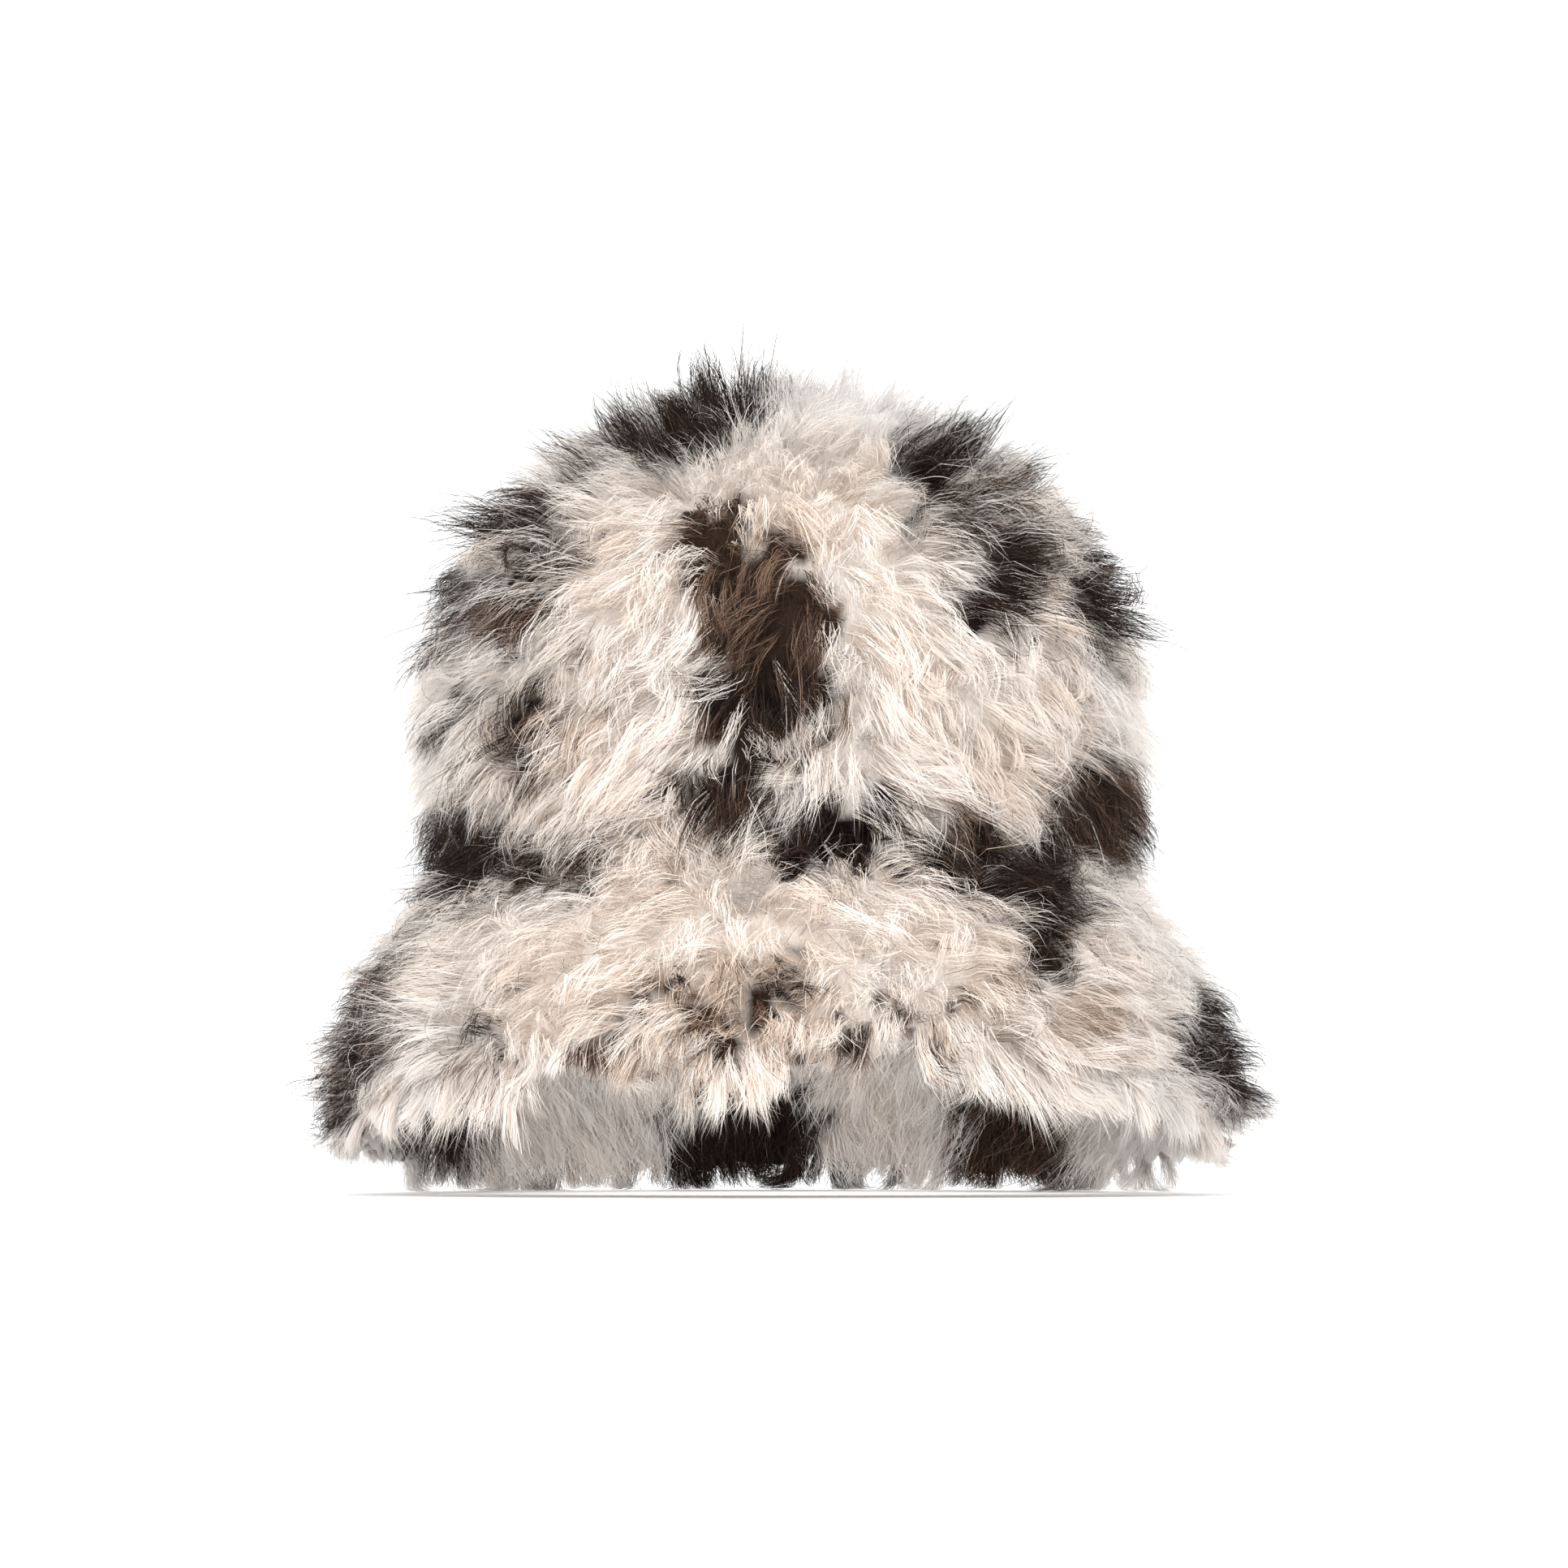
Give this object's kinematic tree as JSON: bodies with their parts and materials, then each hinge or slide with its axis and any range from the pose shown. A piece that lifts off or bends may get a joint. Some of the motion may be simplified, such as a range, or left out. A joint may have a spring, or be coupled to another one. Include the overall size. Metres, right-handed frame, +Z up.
{
  "type": "faux fur bucket hat",
  "caption": "Soft bucket hat of deep faux fur in an animal spot pattern: domed crown, flared wavy brim arched up at the front, open head hollow below.",
  "frame": {"origin": "on the table under the middle of the hat's outline", "axes": "+Z up through the crown, -Y towards the front of the brim, +X to the right as the picture shows it"},
  "size_m": [0.291, 0.3114, 0.2446],
  "materials": {
    "crown_tip_knit": "matt knitted backing",
    "crown_side_knit": "matt knitted backing",
    "brim_knit": "matt knitted backing",
    "crown_tip_pile": "deep soft pile with dark spots",
    "crown_side_pile": "deep soft pile with dark spots",
    "brim_top_pile": "deep soft pile with dark spots",
    "brim_under_pile": "deep soft pile, in shade under the brim"
  },
  "bodies": {
    "root": {"crown_tip_cloth": "crown_tip_knit", "crown_side_cloth": "crown_side_knit", "brim_cloth": "brim_knit", "crown_tip_fur": "crown_tip_pile", "crown_side_fur": "crown_side_pile", "brim_top_fur": "brim_top_pile", "brim_under_fur": "brim_under_pile"}
  },
  "joints": []
}
